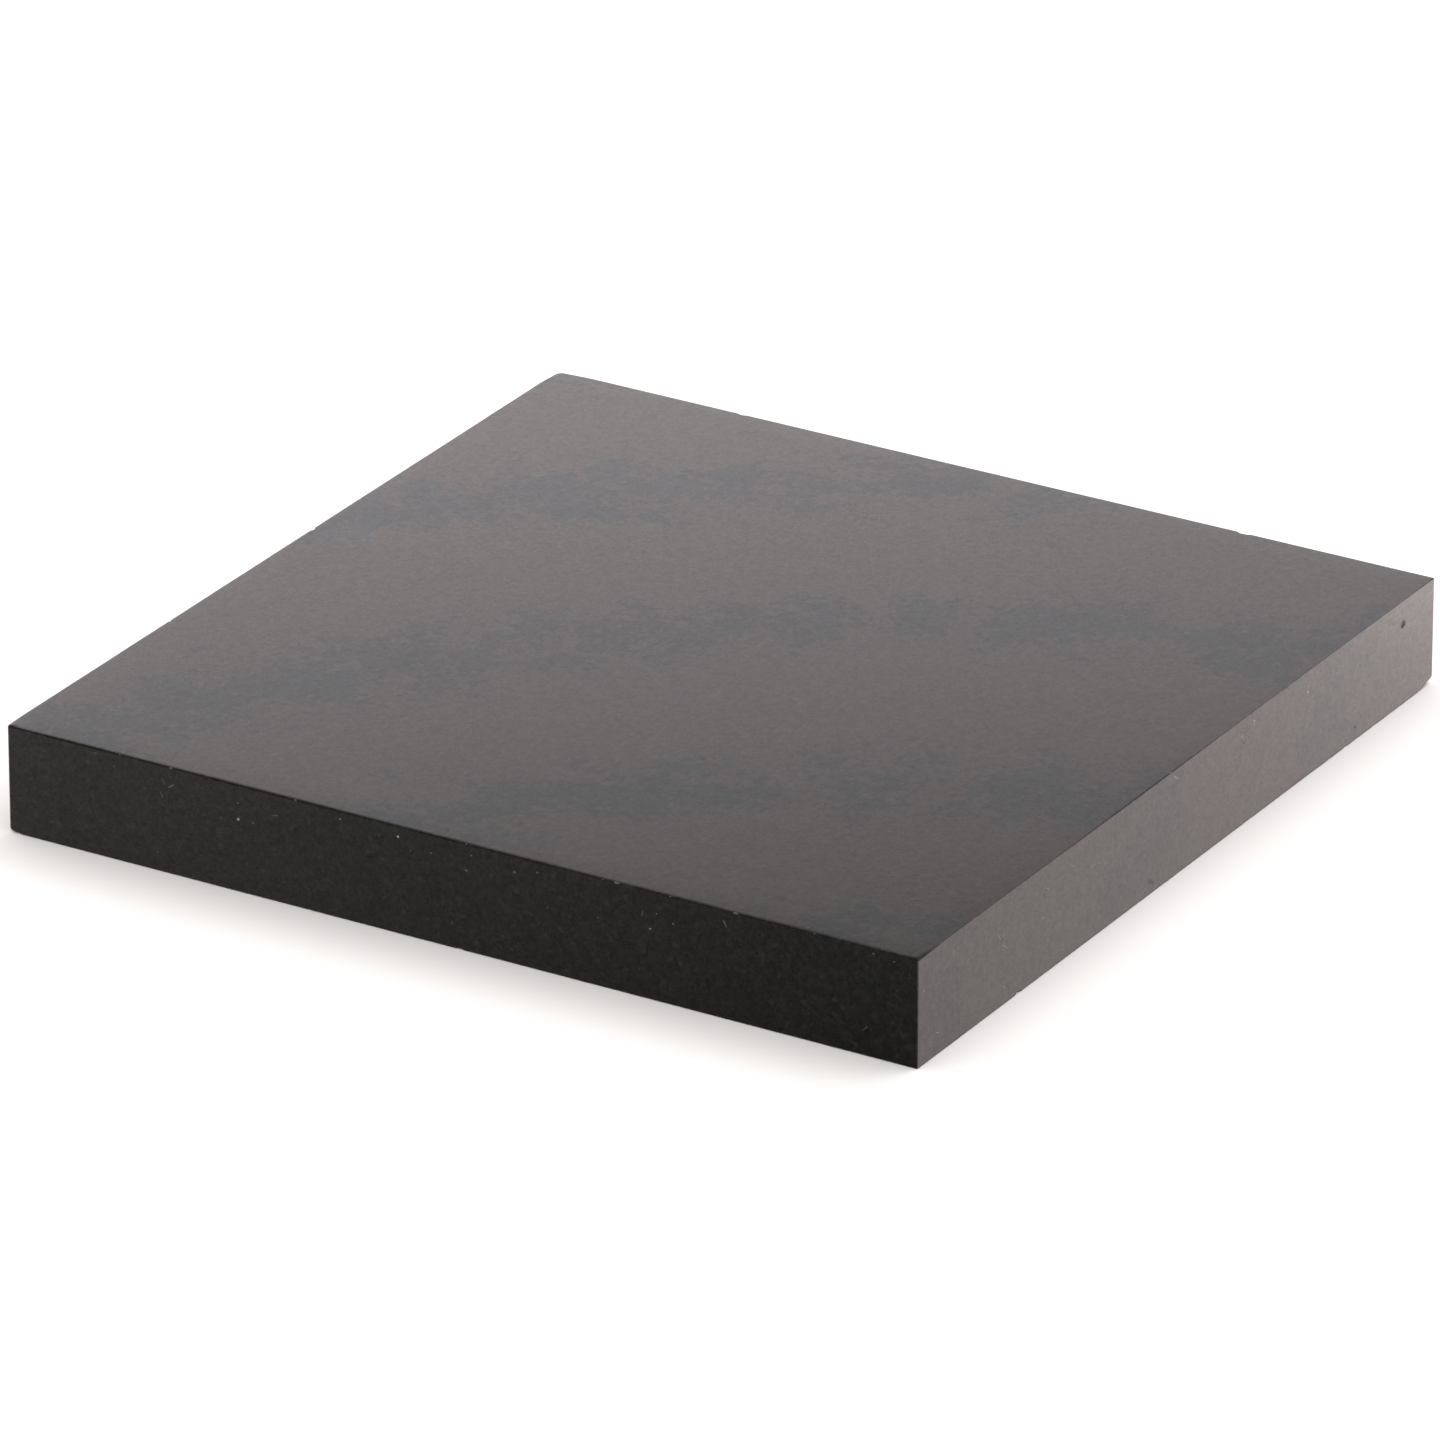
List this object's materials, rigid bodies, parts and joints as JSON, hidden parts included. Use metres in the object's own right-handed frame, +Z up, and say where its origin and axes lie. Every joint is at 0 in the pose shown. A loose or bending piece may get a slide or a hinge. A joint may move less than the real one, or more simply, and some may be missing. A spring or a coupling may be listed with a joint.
{
  "type": "granite slab",
  "caption": "Square block of polished black granite, laid flat on a bench as a heavy, hard surface for tooling, stamping and paring leather.",
  "frame": {"origin": "middle of the base, on the surface that the slab lies on", "axes": "+Z up out of the polished top; X and Y along the square's sides, with the two worn upright corners at -X"},
  "size_m": [0.18, 0.18, 0.02],
  "materials": {
    "granite": "top polished, sides honed, base sawn"
  },
  "bodies": {
    "root": {"granite_slab": "granite"}
  },
  "joints": []
}
